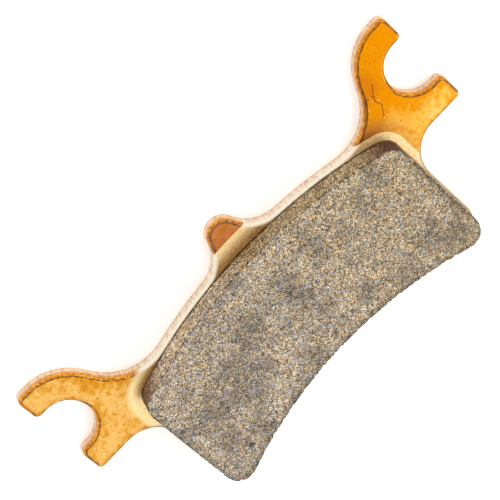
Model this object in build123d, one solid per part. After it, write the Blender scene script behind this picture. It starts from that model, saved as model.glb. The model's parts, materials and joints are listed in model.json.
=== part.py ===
"""Sintered disc brake pad for a pin-guided caliper.

A flat steel backing plate has a forked ear at each end and a small round tab on its outer edge. A block
of sintered friction material is brazed to it through a thin layer of bonding metal.

Lengths are in millimetres. The origin is on the plate's rear (piston) face, halfway between the centres
of the two pin forks. +X runs along the pad to the right-hand fork, +Y points away from the wheel's axis
to the tab, and +Z points from the rear face to the rubbing face.
"""

import os

from build123d import *

# Layers, from the rear face up
PLATE_THICKNESS = 3.0
BOND_THICKNESS = 0.2
FRICTION_THICKNESS = 5.5

# Pin forks: open slots at both ends of the pad, on the line Y = 0
PIN_SPACING = 96.7
SLOT_RADIUS = 5.8
PAD_LENGTH = 101.6
TINE_REACH = 11.5
MOUTH_CORNER_RADIUS = 1.2
TINE_CORNER_RADIUS = 1.1

# Ears: the straight shoulder between the outer edge and the upper tine, and the lower neck
NECK_X = 32.9
NECK_RADIUS = 11.1
SHOULDER_X = 41.4
SHOULDER_RADIUS = 11.0
THROAT_RADIUS = 7.1

# Outer edge of the plate, an arc about a centre below the pad
OUTER_RADIUS = 112.7
OUTER_APEX_Y = -0.2

# Centre tab, with sides that spread towards its root
TAB_TOP_Y = 7.3
TAB_TOP_WIDTH = 5.2
TAB_ROOT_Y = -1.0
TAB_ROOT_WIDTH = 10.2
TAB_TIP_RADIUS = 3.3
TAB_ROOT_RADIUS = 7.4

# Friction block
BLOCK_LENGTH = 70.5
BLOCK_OUTER_RADIUS = 111.2
BLOCK_OUTER_APEX_Y = -0.8
BLOCK_INNER_RADIUS = 90.2
BLOCK_INNER_APEX_Y = -28.0
BLOCK_CORNER_RADIUS = 3.6

# How far the plate shows past the block at its ends and inner edge, and how far the bond is set in
PLATE_MARGIN = 0.4
BOND_SETBACK = 0.25

# Rounding that blanking leaves round the plate's front face
DIE_ROLL = 0.4

# Deep enough to hold either arc band, for cutting one to length
BAND_DEPTH = 100.0


def arc_y(radius, apex_y, x):
    """Height at x of a circle whose highest point is (0, apex_y)."""
    return apex_y - radius + (radius**2 - x**2) ** 0.5


def round_corners(outline, x, y, radius):
    """Round the corner of a symmetric outline nearest to (x, y), and the one nearest to (-x, y)."""
    corners = [outline.vertices().sort_by_distance((side, y))[0] for side in (x, -x)]
    return fillet(corners, radius)


def arc_band(outer_radius, outer_apex_y, inner_radius, inner_apex_y, length):
    """Sketch between an outer and an inner arc, both bulging towards +Y, cut square at both ends."""
    outer = Pos(0, outer_apex_y - outer_radius) * Circle(outer_radius)
    inner = Pos(0, inner_apex_y - inner_radius) * Circle(inner_radius)
    return (outer - inner) & Rectangle(length, BAND_DEPTH)


def block_outline():
    """Friction block seen from the front, with its four corners rounded."""
    outline = arc_band(
        BLOCK_OUTER_RADIUS, BLOCK_OUTER_APEX_Y, BLOCK_INNER_RADIUS, BLOCK_INNER_APEX_Y, BLOCK_LENGTH
    )
    return fillet(outline.vertices(), BLOCK_CORNER_RADIUS)


def ear_sketch():
    """Right-hand ear before its corners are rounded, reaching from the pad's body to the tine ends."""
    body_end = BLOCK_LENGTH / 2 + PLATE_MARGIN
    neck_y = arc_y(OUTER_RADIUS, OUTER_APEX_Y, NECK_X)
    tip_x = PAD_LENGTH / 2
    blank = make_face(
        Polyline(
            (NECK_X, neck_y),
            (SHOULDER_X, TINE_REACH),
            (tip_x, TINE_REACH),
            (tip_x, -TINE_REACH),
            (body_end, -TINE_REACH),
            close=True,
        )
    )
    slot_centre = Pos(PIN_SPACING / 2, 0)
    slot = slot_centre * Circle(SLOT_RADIUS)
    mouth = slot_centre * Rectangle(PAD_LENGTH, 2 * SLOT_RADIUS, align=(Align.MIN, Align.CENTER))
    return blank - slot - mouth


def tab_sketch():
    """Centre tab before its corners are rounded, reaching into the pad's body."""
    top = TAB_TOP_WIDTH / 2
    root = TAB_ROOT_WIDTH / 2
    return make_face(
        Polyline((top, TAB_TOP_Y), (-top, TAB_TOP_Y), (-root, TAB_ROOT_Y), (root, TAB_ROOT_Y), close=True)
    )


def plate_outline():
    """Backing plate seen from the front: body, two forked ears and the tab, with rounded corners."""
    body_length = BLOCK_LENGTH + 2 * PLATE_MARGIN
    body = arc_band(
        OUTER_RADIUS, OUTER_APEX_Y, BLOCK_INNER_RADIUS, BLOCK_INNER_APEX_Y - PLATE_MARGIN, body_length
    )
    ear = ear_sketch()
    outline = body + ear + mirror(ear, Plane.YZ) + tab_sketch()

    body_end = body_length / 2
    tip_x = PAD_LENGTH / 2
    inner_y = arc_y(BLOCK_INNER_RADIUS, BLOCK_INNER_APEX_Y - PLATE_MARGIN, body_end)
    tab_foot_y = OUTER_APEX_Y
    tab_taper = (TAB_ROOT_WIDTH - TAB_TOP_WIDTH) / (TAB_TOP_Y - TAB_ROOT_Y)
    tab_foot_x = (TAB_TOP_WIDTH + tab_taper * (TAB_TOP_Y - tab_foot_y)) / 2
    outline = round_corners(outline, TAB_TOP_WIDTH / 2, TAB_TOP_Y, TAB_TIP_RADIUS)
    outline = round_corners(outline, tab_foot_x, tab_foot_y, TAB_ROOT_RADIUS)
    outline = round_corners(outline, NECK_X, arc_y(OUTER_RADIUS, OUTER_APEX_Y, NECK_X), NECK_RADIUS)
    outline = round_corners(outline, SHOULDER_X, TINE_REACH, SHOULDER_RADIUS)
    outline = round_corners(outline, body_end, -TINE_REACH, THROAT_RADIUS)
    outline = round_corners(outline, body_end, inner_y, BLOCK_CORNER_RADIUS + PLATE_MARGIN)
    for side in (1, -1):
        outline = round_corners(outline, tip_x, side * TINE_REACH, TINE_CORNER_RADIUS)
        outline = round_corners(outline, tip_x, side * SLOT_RADIUS, MOUTH_CORNER_RADIUS)
    return outline


def backing_plate():
    """Blanked steel plate, with the edge of its front face rolled over by the punch."""
    plate = extrude(plate_outline(), PLATE_THICKNESS)
    front_face = plate.faces().sort_by(Axis.Z)[-1]
    return fillet(front_face.edges(), DIE_ROLL)


def bond_layer():
    """Bonding metal between plate and block, set in from the block's edge so that a groove shows."""
    outline = offset(block_outline(), -BOND_SETBACK)
    return Pos(0, 0, PLATE_THICKNESS) * extrude(outline, BOND_THICKNESS)


def friction_block():
    """Sintered friction material, on top of the bond layer."""
    return Pos(0, 0, PLATE_THICKNESS + BOND_THICKNESS) * extrude(block_outline(), FRICTION_THICKNESS)


os.makedirs("parts", exist_ok=True)
export_step(backing_plate(), "parts/backing_plate.step")
export_step(bond_layer(), "parts/bond_layer.step")
export_step(friction_block(), "parts/friction_block.step")
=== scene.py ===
"""Looks of a sintered disc brake pad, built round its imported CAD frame.

The pad lies on its rear face, with +X along it, +Y towards the tab and +Z up to the rubbing face. Outlines
come from the CAD solids. Mesh work is in millimetres and goes to Blender in metres.
"""

import json
import math

import bmesh
import bpy
import numpy as np
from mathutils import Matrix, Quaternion, Vector, noise
from mathutils.geometry import delaunay_2d_cdt


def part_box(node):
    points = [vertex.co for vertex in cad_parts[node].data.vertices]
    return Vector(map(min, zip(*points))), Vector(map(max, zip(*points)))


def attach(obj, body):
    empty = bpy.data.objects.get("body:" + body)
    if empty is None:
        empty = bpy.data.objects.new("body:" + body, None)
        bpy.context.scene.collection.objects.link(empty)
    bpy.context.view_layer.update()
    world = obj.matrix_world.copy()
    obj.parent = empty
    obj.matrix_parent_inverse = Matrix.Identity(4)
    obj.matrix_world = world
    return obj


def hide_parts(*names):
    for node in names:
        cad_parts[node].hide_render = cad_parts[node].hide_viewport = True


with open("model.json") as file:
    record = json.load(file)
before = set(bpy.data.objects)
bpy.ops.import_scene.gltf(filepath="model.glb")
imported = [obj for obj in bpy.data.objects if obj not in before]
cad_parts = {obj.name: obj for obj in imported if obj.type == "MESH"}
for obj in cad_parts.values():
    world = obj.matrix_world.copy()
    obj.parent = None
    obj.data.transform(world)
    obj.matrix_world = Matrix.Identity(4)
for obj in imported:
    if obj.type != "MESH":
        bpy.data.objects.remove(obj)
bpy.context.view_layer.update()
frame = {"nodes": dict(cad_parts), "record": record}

MM = 0.001

# ---------------------------------------------------------------- sizes, in millimetres

PLATE_LOW, PLATE_HIGH = (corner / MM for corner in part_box("backing_plate"))
BOND_LOW, BOND_HIGH = (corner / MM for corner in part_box("bond_layer"))
BLOCK_LOW, BLOCK_HIGH = (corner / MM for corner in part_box("friction_block"))
PLATE_FRONT = PLATE_HIGH.z
BLOCK_FOOT = BLOCK_LOW.z
BLOCK_TOP = BLOCK_HIGH.z
MOUNTS = {mount["name"]: Vector(mount["pos_m"]) / MM for mount in frame["record"]["mounts"]}
RIGHT_FORK = MOUNTS["right_fork"]

# Spacing of mesh points: along outlines, on the plate's front, on hidden faces and on the rubbing face
OUTLINE_STEP = 0.22
PLATE_GRAIN = 0.24
HIDDEN_GRAIN = 1.6
BLOCK_GRAIN = 0.2

# How far the plate's fine points reach under the block
UNDER_BLOCK = 1.0

# Rounds of smoothing along an outline, and how many points are measured against one at a time
FAIRING_PASSES = 160
POINTS_AT_ONCE = 1500

# ---------------------------------------------------------------- outlines


def cad_outline(node, height):
    """Corners of a CAD node's outline at the height of one of its flat faces, in order."""
    mesh = bmesh.new()
    mesh.from_mesh(frame["nodes"][node].data)
    bmesh.ops.remove_doubles(mesh, verts=mesh.verts, dist=1e-7)
    flat = {
        face for face in mesh.faces if all(abs(v.co.z / MM - height) < 1e-3 for v in face.verts)
    }
    neighbours = {}
    for edge in mesh.edges:
        if sum(face in flat for face in edge.link_faces) == 1:
            a, b = edge.verts
            neighbours.setdefault(a, []).append(b)
            neighbours.setdefault(b, []).append(a)
    start = min(neighbours, key=lambda v: tuple(v.co))
    walk = [start, neighbours[start][0]]
    while walk[-1] is not start:
        ahead = [v for v in neighbours[walk[-1]] if v is not walk[-2]]
        walk.append(ahead[0])
    loop = np.array([(v.co.x / MM, v.co.y / MM) for v in walk[:-1]])
    mesh.free()
    x, y = loop.T
    area = np.sum(x * np.roll(y, -1) - np.roll(x, -1) * y)
    return loop if area > 0 else loop[::-1]


def faired(loop, step):
    """Even points along a closed polygon, with its arcs' facets smoothed and its straight runs kept."""
    closed = np.vstack([loop, loop[:1]])
    lengths = np.hypot(*np.diff(closed, axis=0).T)
    along = np.r_[0, np.cumsum(lengths)]
    count = round(along[-1] / step)
    places = np.arange(count) * along[-1] / count
    points = np.c_[np.interp(places, along, closed[:, 0]), np.interp(places, along, closed[:, 1])]
    facets = np.minimum(lengths, np.minimum(np.roll(lengths, 1), np.roll(lengths, -1)))
    reach = 0.5 * facets[np.searchsorted(along, places, side="right") - 1] / step
    share = np.minimum(reach**2 / (2 * FAIRING_PASSES), 0.25)[:, None]
    share = (share + np.roll(share, 1) + np.roll(share, -1)) / 3
    for _ in range(FAIRING_PASSES):
        points = points + share * (np.roll(points, 1, 0) + np.roll(points, -1, 0) - 2 * points)
    return points


def inward_normals(outline):
    """Unit vectors into a counter-clockwise outline, one per point."""
    ahead = np.roll(outline, -1, 0) - np.roll(outline, 1, 0)
    ahead /= np.linalg.norm(ahead, axis=1)[:, None]
    return np.c_[-ahead[:, 1], ahead[:, 0]]


def edge_depth(points, outline):
    """How far inside an outline each point lies, and how much the outline faces +Y nearest to it.

    The first is in millimetres and negative outside. The second runs from -1 to 1.
    """
    normals = inward_normals(outline)
    depth = np.empty(len(points))
    facing = np.empty(len(points))
    for rows in np.array_split(np.arange(len(points)), len(points) // POINTS_AT_ONCE + 1):
        away = points[rows, None] - outline[None]
        nearest = (away**2).sum(2).argmin(1)
        away = away[np.arange(len(rows)), nearest]
        side = np.sign((away * normals[nearest]).sum(1))
        depth[rows] = side * np.hypot(*away.T)
        facing[rows] = -normals[nearest, 1]
    return depth, facing


def inset(points, outline):
    """How far inside an outline each point lies, in millimetres; negative outside."""
    return edge_depth(points, outline)[0]


def lattice(low, high, step):
    """Points of a triangular lattice over a rectangle."""
    rows = np.arange(low[1], high[1], step * math.sqrt(3) / 2)
    columns = np.arange(low[0], high[0], step)
    x, y = np.meshgrid(columns, rows)
    x = x + (np.arange(len(rows)) % 2)[:, None] * step / 2
    return np.c_[x.ravel(), y.ravel()]


# ---------------------------------------------------------------- meshes


def triangles_inside(ring, inner):
    """Triangles that fill a ring of points and pass through the inner points."""
    count = len(ring)
    edges = [(i, (i + 1) % count) for i in range(count)]
    points = [Vector(p) for p in np.vstack([ring, inner])]
    _, _, faces, origins, _, _ = delaunay_2d_cdt(points, edges, [], 1, 1e-7)
    return [[origins[corner][0] for corner in face] for face in faces]


def lofted(outline, profile, inner_top, inner_bottom):
    """Closed skin round an outline: a ring for each (inset, height) of the profile, and a face at each end.

    The profile runs from the bottom face's rim to the top face's rim. Returns points and faces.
    """
    normals = inward_normals(outline)
    count = len(outline)
    rings = [np.c_[outline + normals * depth, np.full(count, height)] for depth, height in profile]
    faces = []
    for level in range(len(rings) - 1):
        base = level * count
        for i in range(count):
            j = (i + 1) % count
            faces.append([base + i, base + j, base + count + j, base + count + i])
    points = rings[:]
    start = len(rings) * count
    top_ring = (len(rings) - 1) * count
    for ring, inner, first, flip in (
        (rings[-1], inner_top, top_ring, False),
        (rings[0], inner_bottom, 0, True),
    ):
        points.append(np.c_[inner, np.full(len(inner), ring[0, 2])])
        for triangle in triangles_inside(ring[:, :2], inner):
            corners = [c + first if c < count else c - count + start for c in triangle]
            faces.append(corners[::-1] if flip else corners)
        start += len(inner)
    return np.vstack(points), faces


def mesh_piece(name, points, faces, attributes):
    """A smooth-shaded mesh object from points in millimetres, with attributes of one number per point."""
    mesh = bpy.data.meshes.new(name)
    mesh.from_pydata((points * MM).tolist(), [], faces)
    for key, values in attributes.items():
        layer = mesh.attributes.new(key, "FLOAT", "POINT")
        layer.data.foreach_set("value", np.asarray(values, dtype=np.float32))
    mesh.shade_smooth()
    mesh.validate()
    piece = bpy.data.objects.new(name, mesh)
    bpy.context.scene.collection.objects.link(piece)
    return piece


def noise_at(points, size, shift=0.0):
    """Smooth noise between about -1 and 1 at points in millimetres, with features of the given size."""
    move = Vector((shift, shift * 1.7, shift * 2.3))
    return np.array([noise.noise(Vector(p) / size + move) for p in points])


def smoothstep(values, low, high):
    """0 below low, 1 above high, and a smooth rise between."""
    t = np.clip((values - low) / (high - low), 0, 1)
    return t * t * (3 - 2 * t)


# ---------------------------------------------------------------- backing plate

# Blanked edge, from the rear up: a torn zone, a sheared zone and a rolled rim. The foot and the profile are
# lists of (inset, height), and the rim is a list of (inset, depth below the front).
TEAR_TOP = 0.9
SHEAR_TOP = PLATE_FRONT - 0.5
EDGE_FOOT = [(0.06, 0.0), (0.0, 0.05), (0.05, 0.12)]
EDGE_RIM = [(0.01, 0.4), (0.04, 0.3), (0.09, 0.21), (0.16, 0.13), (0.25, 0.07), (0.36, 0.025), (0.5, 0.0)]
EDGE_PROFILE = (
    EDGE_FOOT
    + [(0.05, height) for height in np.linspace(0.25, TEAR_TOP - 0.15, 4)]
    + [(0.0, height) for height in np.linspace(TEAR_TOP, SHEAR_TOP, 9)]
    + [(depth, PLATE_FRONT - drop) for depth, drop in EDGE_RIM]
)


def backing_plate_piece(outline, block_outline):
    """The blanked plate, with its edge zones, slight waviness and small dents."""
    lowest, highest = (PLATE_LOW.x, PLATE_LOW.y), (PLATE_HIGH.x, PLATE_HIGH.y)
    face_rim = EDGE_RIM[-1][0]
    fine = lattice(lowest, highest, PLATE_GRAIN)
    coarse = lattice(lowest, highest, HIDDEN_GRAIN)
    fine = fine[inset(fine, block_outline) < UNDER_BLOCK]
    fine = fine[inset(fine, outline) > face_rim + 0.5 * PLATE_GRAIN]
    hidden = coarse[inset(coarse, block_outline) > UNDER_BLOCK + HIDDEN_GRAIN / 2]
    rear = coarse[inset(coarse, outline) > HIDDEN_GRAIN / 2]
    points, faces = lofted(outline, EDGE_PROFILE, np.vstack([fine, hidden]), rear)

    rim, rim_facing = edge_depth(points[:, :2], outline)
    block, block_facing = edge_depth(points[:, :2], block_outline)
    front = smoothstep(points[:, 2], PLATE_FRONT - 0.1, PLATE_FRONT)
    wall = smoothstep(points[:, 2], 0.0, 0.1) * smoothstep(-points[:, 2], -SHEAR_TOP - 0.2, -SHEAR_TOP)
    dent = smoothstep(noise_at(points, 1.1, 4.0), 0.45, 0.8) * 0.035
    wave = 0.012 * noise_at(points, 4.0, 9.0) - 0.012
    points[:, 2] += front * (wave - dent)
    torn = smoothstep(-points[:, 2], -TEAR_TOP, -TEAR_TOP + 0.25)
    streak = points * (1.0, 1.0, 0.25)
    rough = 0.008 * (1 + noise_at(streak, 0.35, 2.0))
    rough += torn * 0.02 * (1 + noise_at(points, 0.5, 6.0))
    count = len(outline)
    rings = len(EDGE_PROFILE)
    normals = np.tile(inward_normals(outline), (rings, 1))
    points[: rings * count, :2] += normals * (wall * rough)[: rings * count, None]
    masks = {"rim_mm": rim, "rim_facing": rim_facing, "block_mm": -block, "block_facing": block_facing}
    return mesh_piece("backing_plate_blanked", points, faces, masks)


# ---------------------------------------------------------------- friction block

# The block's upper edge before it crumbles, as (inset, height from the rubbing face)
TOP_EDGE = [(0.0, -0.16), (0.02, -0.09), (0.06, -0.04), (0.14, 0.0)]


def friction_block_piece(outline):
    """The sintered block, with grain, pits and crumbled edges in its surface."""
    foot, top = BLOCK_FOOT, BLOCK_TOP
    profile = [(0.08, foot), (0.0, foot + 0.1)]
    profile += [(0.0, height) for height in np.linspace(foot + 0.28, top - 0.34, 25)]
    profile += [(depth, top + drop) for depth, drop in TOP_EDGE]
    lowest, highest = (BLOCK_LOW.x, BLOCK_LOW.y), (BLOCK_HIGH.x, BLOCK_HIGH.y)
    fine = lattice(lowest, highest, BLOCK_GRAIN)
    fine = fine[inset(fine, outline) > TOP_EDGE[-1][0] + 0.5 * BLOCK_GRAIN]
    coarse = lattice(lowest, highest, HIDDEN_GRAIN)
    coarse = coarse[inset(coarse, outline) > HIDDEN_GRAIN / 2]
    points, faces = lofted(outline, profile, fine, coarse)

    depth, facing = edge_depth(points[:, :2], outline)
    is_top = smoothstep(points[:, 2], top - 0.12, top - 0.01)
    is_foot = points[:, 2] < foot + 0.02
    bump = 0.5 * (1 + noise_at(points, 0.4, 1.0))
    pit = smoothstep(noise_at(points, 0.6, 5.0), 0.4, 0.65)
    pit = np.maximum(pit, smoothstep(noise_at(points, 1.5, 8.0), 0.6, 0.8))
    near_edge = smoothstep(-depth, -0.8, 0.0) * smoothstep(points[:, 2], top - 0.9, top - 0.1)
    worn = 0.25 + 0.75 * smoothstep(-facing, -0.5, 0.3)
    crumble = near_edge * worn * smoothstep(noise_at(points, 0.55, 12.0), -0.1, 0.6)
    sink = 0.012 * bump + 0.07 * pit + 0.14 * crumble
    points[:, 2] -= is_top * sink
    count = len(outline)
    rings = len(profile)
    normals = np.tile(inward_normals(outline), (rings, 1))
    sideways = (1 - 0.6 * is_top) * (0.02 * bump + 0.04 * pit) + 0.26 * crumble
    sideways[is_foot] = 0
    points[: rings * count, :2] += normals * sideways[: rings * count, None]
    masks = {"side": 1 - is_top, "pit": pit, "edge_mm": depth, "edge_facing": facing}
    return mesh_piece("friction_block_sintered", points, faces, masks)


# ---------------------------------------------------------------- bond layer


def bond_layer_piece(outline):
    """Bonding metal in the groove at the foot of the block, slightly uneven along its edge."""
    low, high = BOND_LOW.z, BOND_HIGH.z
    profile = [(0.0, height) for height in np.linspace(low, high, 4)]
    coarse = lattice((BOND_LOW.x, BOND_LOW.y), (BOND_HIGH.x, BOND_HIGH.y), HIDDEN_GRAIN)
    coarse = coarse[inset(coarse, outline) > HIDDEN_GRAIN / 2]
    points, faces = lofted(outline, profile, coarse, coarse)
    count = len(profile) * len(outline)
    normals = np.tile(inward_normals(outline), (len(profile), 1))
    uneven = 0.05 * (1 + noise_at(points[:count], 0.8, 3.0))
    points[:count, :2] += normals * uneven[:, None]
    return mesh_piece("bond_layer_braze", points, faces, {})


# ---------------------------------------------------------------- materials


def colour(code):
    """Linear red, green, blue and alpha of a colour written as six hexadecimal digits."""
    channels = [int(code[i : i + 2], 16) / 255 for i in (0, 2, 4)]
    linear = [c / 12.92 if c <= 0.04045 else ((c + 0.055) / 1.055) ** 2.4 for c in channels]
    return (*linear, 1.0)


class Finish:
    """A material's node tree, with short calls for the nodes that it needs."""

    def __init__(self, name):
        """A new material, with place, x, y and z as the point on the object in millimetres."""
        self.material = bpy.data.materials.new(name)
        self.material.use_nodes = True
        self.tree = self.material.node_tree
        self.shader = self.tree.nodes["Principled BSDF"]
        place = self.node("ShaderNodeTexCoord", {}).outputs["Object"]
        self.place = self.node(
            "ShaderNodeVectorMath", {0: place, "Scale": 1 / MM}, operation="SCALE"
        ).outputs[0]
        parts = self.node("ShaderNodeSeparateXYZ", {0: self.place})
        self.x, self.y, self.z = parts.outputs

    def node(self, kind, inputs, **settings):
        """A new node, with its settings made and its inputs linked or set."""
        made = self.tree.nodes.new(kind)
        for key, value in settings.items():
            setattr(made, key, value)
        for key, value in inputs.items():
            if isinstance(value, bpy.types.NodeSocket):
                self.tree.links.new(value, made.inputs[key])
            else:
                made.inputs[key].default_value = value
        return made

    def set(self, **inputs):
        """Inputs of the shader, with underscores for the spaces in their names."""
        for key, value in inputs.items():
            socket = self.shader.inputs[key.replace("_", " ")]
            if isinstance(value, bpy.types.NodeSocket):
                self.tree.links.new(value, socket)
            else:
                socket.default_value = value

    def math(self, operation, a, b=0.0):
        """An operation on one or two numbers."""
        return self.node("ShaderNodeMath", {0: a, 1: b}, operation=operation).outputs[0]

    def rise(self, value, low, high, to=(0.0, 1.0)):
        """A smooth change from to[0], where value is below low, to to[1], where it is above high."""
        inputs = {"Value": value, "From Min": low, "From Max": high, "To Min": to[0], "To Max": to[1]}
        return self.node("ShaderNodeMapRange", inputs, interpolation_type="SMOOTHSTEP").outputs[0]

    def ramp(self, value, stops, interpolation="LINEAR"):
        """A colour that changes with value through stops of (place, colour code)."""
        made = self.node("ShaderNodeValToRGB", {"Fac": value})
        band = made.color_ramp
        band.interpolation = interpolation
        for _ in stops[2:]:
            band.elements.new(0.5)
        for element, (place, code) in zip(band.elements, stops):
            element.position = place
            element.color = colour(code)
        return made.outputs["Color"]

    def mix(self, factor, a, b, blend="MIX"):
        """Colour a turned into colour b by the factor; either may be a colour code."""
        a, b = (colour(c) if isinstance(c, str) else c for c in (a, b))
        inputs = {0: factor, 6: a, 7: b}
        return self.node("ShaderNodeMix", inputs, data_type="RGBA", blend_type=blend).outputs[2]

    def vector(self, operation, a, b):
        """An operation on two vectors."""
        return self.node("ShaderNodeVectorMath", {0: a, 1: b}, operation=operation).outputs[0]

    def noise(self, size, detail=2.0, stretch=None, shift=0.0):
        """Noise from 0 to 1 with features of the given size in millimetres."""
        place = self.place
        if stretch is not None:
            place = self.vector("MULTIPLY", place, stretch)
        place = self.vector("ADD", place, (shift,) * 3)
        inputs = {"Vector": place, "Scale": 1 / size, "Detail": detail}
        return self.node("ShaderNodeTexNoise", inputs).outputs[0]

    def cells(self, size, shift=0.0, flat=False):
        """Cells of the given size: two random numbers per cell, and the distance to its centre in cells.

        Flat cells are the same at all heights.
        """
        inputs = {"Vector": self.vector("ADD", self.place, (shift,) * 3), "Scale": 1 / size}
        made = self.node("ShaderNodeTexVoronoi", inputs, voronoi_dimensions="2D" if flat else "3D")
        parts = self.node("ShaderNodeSeparateColor", {0: made.outputs["Color"]})
        return parts.outputs[0], parts.outputs[1], made.outputs["Distance"]

    def attribute(self, name):
        """A number that the mesh carries at each point."""
        return self.node("ShaderNodeAttribute", {}, attribute_name=name).outputs["Fac"]

    def bump(self, height, distance, strength=1.0):
        """A bump normal from a height of 0 to 1 that stands for the given distance in millimetres."""
        inputs = {"Height": height, "Distance": distance * MM, "Strength": strength}
        return self.node("ShaderNodeBump", inputs).outputs[0]


def product(f, *factors):
    """All the factors multiplied together."""
    result = factors[0]
    for factor in factors[1:]:
        result = f.math("MULTIPLY", result, factor)
    return result


def stroke(f, points, half_width):
    """1 along a thin line through points in millimetres, and 0 away from it."""
    nearest = None
    for (x0, y0), (x1, y1) in zip(points, points[1:]):
        length = math.hypot(x1 - x0, y1 - y0)
        along = ((x1 - x0) / length, (y1 - y0) / length)
        dx = f.math("SUBTRACT", f.x, x0)
        dy = f.math("SUBTRACT", f.y, y0)
        travel = f.math("ADD", f.math("MULTIPLY", dx, along[0]), f.math("MULTIPLY", dy, along[1]))
        past = f.math("SUBTRACT", travel, f.math("MINIMUM", f.math("MAXIMUM", travel, 0.0), length))
        across = f.math("SUBTRACT", f.math("MULTIPLY", dy, along[0]), f.math("MULTIPLY", dx, along[1]))
        away = f.math("ADD", f.math("POWER", past, 2.0), f.math("POWER", across, 2.0))
        nearest = away if nearest is None else f.math("MINIMUM", nearest, away)
    return f.rise(f.math("SQRT", nearest), 0.5 * half_width, 1.5 * half_width, (1.0, 0.0))


def round_zone(f, middle, radius):
    """1 inside a round zone about (x, y) from the right fork's centre, fading to 0 round its edge."""
    dx = f.math("POWER", f.math("SUBTRACT", f.x, RIGHT_FORK.x + middle[0]), 2.0)
    dy = f.math("POWER", f.math("SUBTRACT", f.y, RIGHT_FORK.y + middle[1]), 2.0)
    distance = f.math("SQRT", f.math("ADD", dx, dy))
    return f.rise(distance, 0.5 * radius, 1.2 * radius, (1.0, 0.0))


def dots(f, size, radius, share, shift, crowd=0.0):
    """Round dots in a share of flat cells, with sizes in millimetres, and a random number for each dot."""
    choice, own, distance = f.cells(size, shift=shift, flat=True)
    chosen = f.rise(f.math("ADD", choice, crowd), 1.0 - share, 1.02 - share)
    reach = radius / size
    return f.math("MULTIPLY", f.rise(distance, 0.4 * reach, reach, (1.0, 0.0)), chosen), own


def strewn(f, ground, kinds):
    """The ground's colour with separate grains of several kinds strewn over it."""
    for size, reach, share, code in kinds:
        choice, _, distance = f.cells(size, shift=10 * size)
        chosen = f.rise(choice, 1.0 - share, 1.01 - share)
        grain = f.math("MULTIPLY", f.rise(distance, 0.75 * reach, reach, (1.0, 0.0)), chosen)
        ground = f.mix(f.math("MULTIPLY", grain, 0.9), ground, code)
    return ground


# ---------------------------------------------------------------- plate finish

# Half the stretch along the pad over which the left ear's finish turns into the right one's
EAR_BLEND = 20.0

# Where the tab's own finish begins to fade, either side of the middle
TAB_SIDE = 6.0

# Places on the right ear, measured from the fork's centre: a branched scratch, and zones by the neck's rim
SCRATCHES = [
    [(-8.0, 3.5), (-9.5, 1.5), (-10.0, 0.5), (-9.5, -1.0), (-11.0, -3.0)],
    [(-9.5, 1.5), (-11.0, 2.0)],
]
SCRATCH_HALF_WIDTH = 0.09
BLUSH = (-10.0, 4.0)
NECK_RIM = (-12.0, 0.0)
ZONE_RADIUS = 3.6
CHIPPED_RADIUS = 4.0

# Brown dots on the coating: the cell and the dot's radius in millimetres, and the share of cells with a dot
COATING_DOTS = [(5.0, 0.3, 0.4), (2.6, 0.24, 0.5), (1.3, 0.17, 0.7), (0.7, 0.13, 0.6)]


def left_to_right(f, left, right):
    """A number that changes from the left ear to the right one, over the middle of the pad."""
    return f.rise(f.x, -EAR_BLEND, EAR_BLEND, (left, right))


def near_tab(f):
    """1 at the tab, and 0 at the ears."""
    return f.rise(f.math("ABSOLUTE", f.x), TAB_SIDE, 2 * TAB_SIDE, (1.0, 0.0))


def coating(f, rim, rim_facing, block):
    """Heat-tinted coating: pale gold on the left ear, saturated orange on the right, copper on the tab."""
    right = left_to_right(f, 0.0, 1.0)
    left = f.math("SUBTRACT", 1.0, right)
    lower = f.rise(f.y, -11.0, 3.0, (1.0, 0.0))
    patches = f.noise(1.2, 6.0)
    near_rim = product(f, f.rise(rim, 1.0, 5.0, (1.0, 0.0)), f.rise(rim_facing, -0.4, 0.6, (0.35, 1.0)))
    deep = f.math("ADD", patches, f.math("MULTIPLY", near_rim, 0.2))

    # How pale the coating is, from deep orange at 0 to gold at 1
    pale = f.math("ADD", left, product(f, right, lower, 0.8))
    pale = f.math("SUBTRACT", pale, product(f, f.rise(deep, 0.48, 0.8), left_to_right(f, 0.62, 0.4)))
    pale = f.math("ADD", pale, f.rise(f.x, -49.0, -42.0, (0.25, 0.0)))
    pale = f.math("ADD", pale, f.rise(f.noise(5.0, 2.0, shift=3.0), 0.5, 0.75, (0.0, 0.2)))
    coat = f.ramp(pale, [(0.0, "C47A00"), (0.35, "C67E08"), (0.7, "D69E3E"), (1.0, "E2B260")])

    # Browner by the block on the right as painted shade and reflection of the block, creamier by it on the
    # left, copper brown on the tab
    brown = product(f, f.rise(block, 1.2, 6.0, (0.9, 0.0)), f.rise(f.y, -9.0, -1.0, (0.3, 1.0)), right)
    coat = f.mix(brown, coat, "8A5434")
    coat = f.mix(f.math("MULTIPLY", round_zone(f, BLUSH, ZONE_RADIUS), 0.5), coat, "A85410")
    coat = f.mix(product(f, f.rise(block, 0.8, 4.4, (0.85, 0.0)), left), coat, "E2C484")
    coat = f.mix(near_tab(f), coat, f.ramp(patches, [(0.35, "B87040"), (0.7, "9C5A2A")]))
    return speckled(f, coat, rim, rim_facing, patches)


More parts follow.
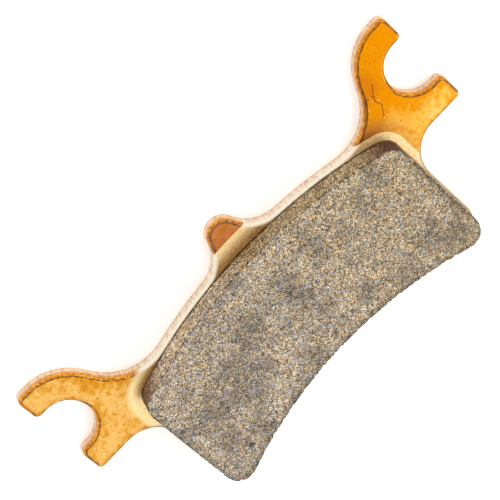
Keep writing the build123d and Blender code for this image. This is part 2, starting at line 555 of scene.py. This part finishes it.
def speckled(f, coat, rim, rim_facing, patches):
    """The coating's colour with mottling, speckle and dots, and deeper along rims that don't face +Y."""
    faces_away = f.rise(rim_facing, -0.1, 0.5, (1.0, 0.0))
    uneven = f.rise(patches, 0.35, 0.6, (0.3, 1.0))
    coat = f.mix(product(f, f.rise(rim, 0.3, 1.3, (0.8, 0.0)), faces_away, uneven), coat, "B87018")

    mottle = f.rise(f.noise(0.7, 4.0, shift=31.0), 0.52, 0.68, (0.0, 0.5))
    mottle_colour = f.mix(left_to_right(f, 0.0, 1.0), "D07C10", "B4780A")
    coat = f.mix(product(f, mottle, left_to_right(f, 1.0, 0.45)), coat, mottle_colour)
    speckle = f.noise(0.32, 2.0, shift=6.0)
    coat = f.mix(f.rise(speckle, 0.5, 0.75, (0.0, 0.4)), coat, "B86004")
    glints = product(f, f.rise(speckle, 0.25, 0.45, (0.22, 0.0)), left_to_right(f, 1.0, 0.3))
    coat = f.mix(glints, coat, "F0C47C")

    crowd = f.rise(rim, 0.3, 2.0, (0.25, 0.0))
    for size, radius, share in COATING_DOTS:
        dot, own = dots(f, size, radius, share, size, crowd)
        coat = f.mix(f.math("MULTIPLY", dot, f.rise(own, 0.0, 1.0, (0.15, 0.75))), coat, "9A5410")
    return coat


def bare_strip(f, rim, block, block_facing):
    """Pale blasted steel round the block, with painted shade and painted reflection of the block's outer wall
    in brown beside it.
    """
    grain = f.noise(0.3, 3.0, shift=8.0)
    bare = f.ramp(grain, [(0.3, "D6B078"), (0.5, "EECC90"), (0.7, "F6DCA8")])
    rolled = f.ramp(grain, [(0.3, "DECCB0"), (0.5, "EADCC4"), (0.7, "F2E8D6")])
    # Painted sheen: the bare strip turns lighter cream towards the left ear's end
    bare = f.mix(f.rise(f.x, -32.0, -24.0, (0.8, 0.0)), bare, "FFE2A0")
    bare = f.mix(f.rise(rim, 0.3, 1.3), rolled, bare)

    # Painted shade and painted reflection of the block's dark outer wall, on the strip on the block's +Y side
    away_from_tab = f.rise(f.x, 8.0, 22.0, (1.0, 0.55))
    lee = product(f, f.rise(rim, 0.5, 0.9), f.rise(block_facing, 0.35, 0.9), away_from_tab)
    block_shade_width = f.rise(f.x, -26.0, -10.0, (2.2, 3.4))
    near_block = f.rise(f.math("DIVIDE", block, block_shade_width), 0.1, 1.0, (0.92, 0.0))
    block_shade = f.math("MULTIPLY", lee, near_block)
    bare = f.mix(block_shade, bare, f.ramp(grain, [(0.3, "7E5020"), (0.7, "B88442")]))

    choice, _, distance = f.cells(1.4, shift=2.0, flat=True)
    dot = product(f, f.rise(distance, 0.04, 0.1, (1.0, 0.0)), f.rise(choice, 0.6, 0.62, (0.0, 0.6)))
    return f.mix(dot, bare, "4A3420")


def scratched(f, surface, coated):
    """The front's colour with the right ear's scratch, and bright chips in the coating by its neck."""
    for points in SCRATCHES:
        points = [(RIGHT_FORK.x + x, RIGHT_FORK.y + y) for x, y in points]
        line = stroke(f, points, SCRATCH_HALF_WIDTH)
        surface = f.mix(f.math("MULTIPLY", line, 0.8), surface, "5E2A12")
    chip, own = dots(f, 0.9, 0.15, 0.25, 41.0)
    zone = round_zone(f, NECK_RIM, CHIPPED_RADIUS)
    chip = product(f, chip, zone, coated, f.rise(own, 0.0, 1.0, (0.4, 0.95)))
    return f.mix(chip, surface, "FFE49C")


def rim_lined(f, surface, rim, rim_facing, coated):
    """The front's colour with a dark broken line where the rolled edge begins, strongest where facing +Y;
    where the rim faces away the line sits at the very edge as painted shade.
    """
    on_tab = near_tab(f)
    ragged = f.math("MULTIPLY", f.math("SUBTRACT", f.noise(0.8, 3.0, shift=7.0), 0.5), 0.4)
    # Where the rim faces away from +Y the line is painted shade at the very edge; elsewhere it is the
    # coating's dark line where the roll begins
    place = f.rise(rim_facing, -0.5, 0.3, (0.12, 0.5))
    off_line = f.math("ABSOLUTE", f.math("ADD", f.math("SUBTRACT", rim, place), ragged))
    off_line = f.math("SUBTRACT", off_line, f.math("MULTIPLY", round_zone(f, NECK_RIM, ZONE_RADIUS), 0.16))
    off_line = f.math("SUBTRACT", off_line, f.math("MULTIPLY", on_tab, 0.08))
    line = f.rise(off_line, 0.12, 0.26, (1.0, 0.0))

    # Least broken on the right ear, the left ear's end and the tab
    strength = f.rise(rim_facing, -0.6, 0.4, (0.8, 1.0))
    broken = f.rise(f.noise(0.9, 3.0, shift=11.0), 0.38, 0.52, (0.35, 0.95))
    broken = f.math("MAXIMUM", broken, f.rise(f.x, 25.0, 35.0, (0.0, 0.8)))
    left_end = product(f, f.rise(f.x, -42.0, -36.0, (0.9, 0.0)), f.rise(rim_facing, 0.0, 0.4))
    broken = f.math("MAXIMUM", broken, left_end)
    broken = f.math("MAXIMUM", broken, f.math("MULTIPLY", on_tab, 0.9))
    return f.mix(product(f, line, coated, strength, broken), surface, f.mix(on_tab, "2C2424", "403C40"))


def rim_tinted(f, surface, rim, rim_facing, coated):
    """The front's colour, its rim tarnished where coated and facing +Y, with painted shade in dark tan on
    bare rims facing away.
    """
    outer = product(f, f.rise(rim, 0.3, 0.7, (1.0, 0.0)), coated, f.rise(rim_facing, -0.2, 0.4))
    tarnish = f.ramp(f.noise(0.6, 3.0, shift=5.0), [(0.35, "E6A03C"), (0.5, "C87C20"), (0.7, "7A4A1C")])
    surface = f.mix(f.math("MULTIPLY", outer, left_to_right(f, 0.8, 0.5)), surface, tarnish)
    # Painted shade on bare rims that face away from +Y
    away = product(f, f.rise(rim, 0.2, 0.8, (0.9, 0.0)), f.rise(rim_facing, -0.2, 0.6, (1.0, 0.0)))
    away = f.math("MULTIPLY", away, f.math("SUBTRACT", 1.0, coated))
    return f.mix(away, surface, "8A6A2C")


def block_foot_shaded(f, surface, block):
    """The front's colour with painted shade as a dark uneven line at the foot of the block."""
    # Painted shade along the block's foot
    foot_line = f.math("ADD", block, f.math("MULTIPLY", f.math("SUBTRACT", f.noise(0.5, 2.0), 0.5), 0.25))
    depth = f.rise(f.noise(2.5, 2.0, shift=23.0), 0.35, 0.6, (0.5, 0.95))
    return f.mix(f.math("MULTIPLY", f.rise(foot_line, 0.02, 0.18, (1.0, 0.0)), depth), surface, "2A1C10")


def sheared_edge(f, coated):
    """Blanked edge: pinkish and torn at the foot, bright above, with coating run over it at ears and tab."""
    streaks = f.noise(0.5, 3.0, stretch=(1.0, 1.0, 0.2))
    foot = f.mix(f.rise(streaks, 0.35, 0.7), "F6CC9A", "D4A272")
    middle = f.mix(f.rise(streaks, 0.35, 0.75), "EADFD0", "C8B298")
    middle = f.mix(f.math("MULTIPLY", coated, 0.45), middle, "F4CC98", "MULTIPLY")
    edge = f.mix(f.rise(f.z, TEAR_TOP - 0.55, TEAR_TOP - 0.2), foot, middle)
    edge = f.mix(f.rise(f.z, SHEAR_TOP - 0.4, SHEAR_TOP), edge, "E6D8C0")
    roll = f.ramp(f.noise(0.6, 3.0, shift=5.0), [(0.35, "E6A03C"), (0.5, "D0841E"), (0.72, "92581C")])
    uneven = f.math("ADD", f.z, f.math("MULTIPLY", f.noise(1.4, 3.0, shift=21.0), 0.8))
    run_over = f.rise(uneven, SHEAR_TOP - 0.75, SHEAR_TOP - 0.15)
    return f.mix(f.math("MULTIPLY", coated, run_over), edge, roll)


def rear_face(f, rim):
    """Tinted steel of the piston side, with rubbed streaks and a darker rim."""
    cloud = f.noise(7.0, 4.0, shift=15.0)
    rear = f.ramp(cloud, [(0.3, "B87A2C"), (0.5, "C89446"), (0.7, "D4AC6C")])
    rubbed = f.noise(1.0, 4.0, stretch=(0.15, 1.0, 1.0), shift=17.0)
    rear = f.mix(f.rise(rubbed, 0.5, 0.75, (0.0, 0.5)), rear, "D8C8AC")
    choice, depth, distance = f.cells(1.6, shift=19.0, flat=True)
    dot = product(f, f.rise(distance, 0.05, 0.12, (1.0, 0.0)), f.rise(choice, 0.5, 0.52), depth)
    rear = f.mix(dot, rear, "7A4A1C")
    return f.mix(f.rise(rim, 0.1, 1.0, (0.5, 0.0)), rear, "7A5230")


def coated_share(f, block):
    """1 where the coating is, and 0 on the bare strip round the block, which is widest at the tab."""
    strip_width = f.rise(f.math("ABSOLUTE", f.x), 4.0, 26.0, (3.7, 1.7))
    strip_width = f.math("ADD", strip_width, f.rise(f.x, -32.0, -22.0, (1.0, 0.0)))
    softness = f.rise(f.x, -20.0, -10.0, (0.7, 0.08))
    past_strip = f.math("DIVIDE", f.math("SUBTRACT", block, strip_width), softness)
    return f.rise(past_strip, -1.0, 1.0)


def plate_finish():
    """Heat-tinted coating over blanked steel, with a bare pale strip round the block."""
    f = Finish("plate_coating")
    rim = f.attribute("rim_mm")
    rim_facing = f.attribute("rim_facing")
    block = f.attribute("block_mm")
    block_facing = f.attribute("block_facing")

    coated = coated_share(f, block)
    surface = f.mix(coated, bare_strip(f, rim, block, block_facing), coating(f, rim, rim_facing, block))
    surface = scratched(f, surface, coated)
    surface = rim_lined(f, surface, rim, rim_facing, coated)
    surface = rim_tinted(f, surface, rim, rim_facing, coated)
    surface = block_foot_shaded(f, surface, block)
    on_front = f.rise(f.z, PLATE_FRONT - 0.45, PLATE_FRONT - 0.2)
    surface = f.mix(on_front, sheared_edge(f, coated), surface)
    on_rear = f.rise(f.z, 0.01, 0.05, (1.0, 0.0))
    surface = f.mix(on_rear, surface, rear_face(f, rim))

    tinted = f.math("MAXIMUM", f.math("MULTIPLY", coated, on_front), on_rear)
    relief = f.math("ADD", f.noise(0.35, 3.0), f.math("MULTIPLY", f.noise(1.6, 4.0), 1.5))
    f.set(
        Base_Color=surface,
        Metallic=f.rise(tinted, 0.0, 1.0, (0.35, 1.0)),
        Roughness=f.rise(f.noise(0.5, 3.0), 0.3, 0.7, (0.3, 0.44)),
        Normal=f.bump(relief, 0.02, 0.5),
    )
    return f.material


# ---------------------------------------------------------------- friction finish

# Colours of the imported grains, each from the place where its share of 0 to 1 begins
GRAIN_COLOURS = [
    (0.0, "14100C"),
    (0.07, "4A3824"),
    (0.2, "7C6040"),
    (0.36, "B08E60"),
    (0.54, "D0B07A"),
    (0.68, "F2D49A"),
    (0.77, "94A8BC"),
    (0.88, "5E7288"),
    (0.94, "F0EEE4"),
]
COARSE_GRAIN = 0.3
FINE_GRAIN = 0.155

# Separate grains: the cell in millimetres, then the grain's radius in cells, the share of cells that have
# one, and its colour
TOP_GRAINS = [(0.4, 0.36, 0.45, "B0C2D4"), (0.42, 0.34, 0.45, "FFE4AC"), (0.36, 0.36, 0.6, "0C0A08")]
EDGE_GRAINS = [(0.5, 0.4, 0.7, "18222E")]
WALL_GRAINS = [(0.52, 0.36, 0.55, "FFE8BC"), (0.48, 0.36, 0.65, "080604")]

# How much redder and brighter the block's side walls are than its rubbing face
WALL_TINT = (1.32, 1.25, 1.18)


def clouded(f, grains):
    """The grains' colour with clumps, clouds, darkened pits and a few stained places, warmer to the right."""
    clump = f.noise(1.0, 3.0, shift=9.0)
    grains = f.mix(f.rise(clump, 0.35, 0.75, (0.05, 0.6)), grains, "8C8C90", "MULTIPLY")
    blotch = f.noise(6.0, 3.0)
    grains = f.mix(f.rise(blotch, 0.38, 0.68, (0.0, 0.6)), grains, "9C9CA4", "MULTIPLY")
    grains = f.mix(f.math("MULTIPLY", f.attribute("pit"), 0.6), grains, "1C1816")
    stained, _ = dots(f, 7.0, 0.8, 0.35, 33.0)
    marks = f.math("MULTIPLY", stained, f.rise(f.noise(0.5, 2.0, shift=27.0), 0.35, 0.55))
    grains = f.mix(f.math("MULTIPLY", marks, 0.8), grains, "5C646C", "MULTIPLY")
    return f.mix(f.rise(f.x, -10.0, 30.0), grains, "FFFAEC", "MULTIPLY")


def dark_edged(f, grains, facing):
    """The grains' colour, darker and bluer along the ends and inner edge, with black dashes at the rim."""
    edge = f.attribute("edge_mm")
    band = product(f, f.rise(edge, 0.2, 1.5, (1.0, 0.0)), f.rise(facing, -0.2, 0.6, (1.0, 0.15)))
    grains = f.mix(f.math("MULTIPLY", band, 0.4), grains, "6E7884", "MULTIPLY")
    grains = f.mix(band, grains, strewn(f, grains, EDGE_GRAINS))
    dash = product(f, f.rise(edge, 0.1, 0.35, (1.0, 0.0)), f.rise(f.noise(1.0, 2.0, shift=13.0), 0.48, 0.56))
    dash = f.math("MULTIPLY", dash, f.rise(f.z, BLOCK_TOP - 0.45, BLOCK_TOP - 0.2))
    return f.mix(f.math("MULTIPLY", dash, 0.85), grains, "14110F")


def block_wall(f, grains, facing):
    """Side walls: coarser and browner than the rubbing face, with painted shade darkest at the outer corners
    and the foot.
    """
    wall = f.vector("MULTIPLY", strewn(f, grains, WALL_GRAINS), WALL_TINT)
    wall = f.mix(f.rise(f.noise(3.0, 2.0, shift=2.0), 0.35, 0.7, (0.0, 0.3)), wall, "B89870", "MULTIPLY")
    wall = f.mix(f.rise(f.x, -12.0, 2.0), wall, "DDD8C3", "MULTIPLY")
    # Painted shade where the wall turns at the outer corners
    corner = product(f, f.rise(f.math("ABSOLUTE", f.x), 27.0, 34.5), f.rise(facing, -0.1, 0.3))
    wall = f.mix(f.math("MULTIPLY", corner, 0.95), wall, "805434", "MULTIPLY")
    # Painted shade along the wall's foot
    return f.mix(f.rise(f.z, BLOCK_FOOT + 0.02, BLOCK_FOOT + 0.3, (0.7, 0.0)), wall, "1A120C")


def friction_finish():
    """Sintered metal: packed grains of tan copper alloy, blue-grey iron, brown oxide and black graphite."""
    f = Finish("sintered_friction")
    facing = f.attribute("edge_facing")
    coarse, coarse_height, _ = f.cells(COARSE_GRAIN)
    fine, fine_height, _ = f.cells(FINE_GRAIN, shift=5.0)
    coarse_grains = f.ramp(coarse, GRAIN_COLOURS, "CONSTANT")
    grains = f.mix(0.7, coarse_grains, f.ramp(fine, GRAIN_COLOURS, "CONSTANT"))
    grains = clouded(f, strewn(f, grains, TOP_GRAINS))
    grains = dark_edged(f, grains, facing)
    wall = block_wall(f, f.mix(0.3, grains, coarse_grains), facing)

    relief = f.math("ADD", coarse_height, f.math("MULTIPLY", fine_height, 0.8))
    f.set(
        Base_Color=f.mix(f.attribute("side"), grains, wall),
        Metallic=0.15,
        Roughness=0.75,
        Normal=f.bump(relief, 0.03, 0.5),
    )
    return f.material


# ---------------------------------------------------------------- other finishes


def bond_finish():
    """Dull dark copper alloy."""
    f = Finish("bond_metal")
    patches = f.noise(0.7, 3.0)
    f.set(
        Base_Color=f.ramp(patches, [(0.35, "120C08"), (0.7, "2E1E12")]),
        Metallic=0.6,
        Roughness=0.6,
        Normal=f.bump(patches, 0.05),
    )
    return f.material


def floor_finish():
    """Plain pale studio floor."""
    f = Finish("studio_floor")
    f.set(Base_Color=colour("FDFDFC"), Roughness=0.9)
    return f.material


# ---------------------------------------------------------------- the pad

plate_outline = faired(cad_outline("backing_plate", PLATE_LOW.z), OUTLINE_STEP)
block_outline = faired(cad_outline("friction_block", BLOCK_TOP), OUTLINE_STEP)
bond_outline = faired(cad_outline("bond_layer", BOND_HIGH.z), 2 * OUTLINE_STEP)

pad = [
    (backing_plate_piece(plate_outline, block_outline), "backing_plate", "plate_steel", plate_finish()),
    (bond_layer_piece(bond_outline), "bond_layer", "bond_metal", bond_finish()),
    (friction_block_piece(block_outline), "friction_block", "sintered_friction", friction_finish()),
]
for piece, node, slot, finish in pad:
    piece.data.materials.append(finish)
    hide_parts(node)
    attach(piece, "root")

# ---------------------------------------------------------------- studio

# The camera's place and aim in metres, its roll in degrees and its lens in millimetres
CAMERA_PLACE = Vector((0.04774, 0.19061, 0.41469))
CAMERA_AIM = Vector((0.00118, -0.00195, 0.003))
CAMERA_ROLL = 145.9
CAMERA_LENS = 171.0

WORLD_STRENGTH = 1.25


def add_floor():
    """A plain floor under the pad, with its edges far out of frame."""
    mesh = bpy.data.meshes.new("floor")
    reach = 3.0
    corners = [(-reach, -reach, 0), (reach, -reach, 0), (reach, reach, 0), (-reach, reach, 0)]
    mesh.from_pydata(corners, [], [(0, 1, 2, 3)])
    mesh.materials.append(floor_finish())
    floor = bpy.data.objects.new("floor", mesh)
    bpy.context.scene.collection.objects.link(floor)


def add_lamp(name, place, size, power, tint):
    """A square soft lamp that shines at the pad."""
    lamp = bpy.data.lights.new(name, "AREA")
    lamp.size = size
    lamp.energy = power
    lamp.color = tint
    holder = bpy.data.objects.new(name, lamp)
    holder.location = place
    holder.rotation_euler = (-Vector(place)).to_track_quat("-Z", "Y").to_euler()
    bpy.context.scene.collection.objects.link(holder)


def add_world(strength):
    """An even white surround."""
    world = bpy.data.worlds.new("studio")
    world.use_nodes = True
    background = world.node_tree.nodes["Background"]
    background.inputs["Color"].default_value = (1.0, 1.0, 1.0, 1.0)
    background.inputs["Strength"].default_value = strength
    bpy.context.scene.world = world


def add_camera():
    """A long lens above the pad's outer edge, turned so that the pad lies across the frame."""
    data = bpy.data.cameras.new("camera")
    data.lens = CAMERA_LENS
    data.clip_start = 0.01
    camera = bpy.data.objects.new("camera", data)
    aim = (CAMERA_AIM - CAMERA_PLACE).to_track_quat("-Z", "Y")
    roll = Quaternion((0, 0, 1), math.radians(CAMERA_ROLL))
    camera.rotation_mode = "QUATERNION"
    camera.location = CAMERA_PLACE
    camera.rotation_quaternion = aim @ roll
    bpy.context.scene.collection.objects.link(camera)
    bpy.context.scene.camera = camera


add_floor()
add_world(WORLD_STRENGTH)
add_lamp("key", place=(0.5, -0.55, 0.8), size=0.7, power=4.5, tint=(1.0, 0.99, 0.97))
add_camera()
bpy.context.scene.view_settings.view_transform = "Standard"
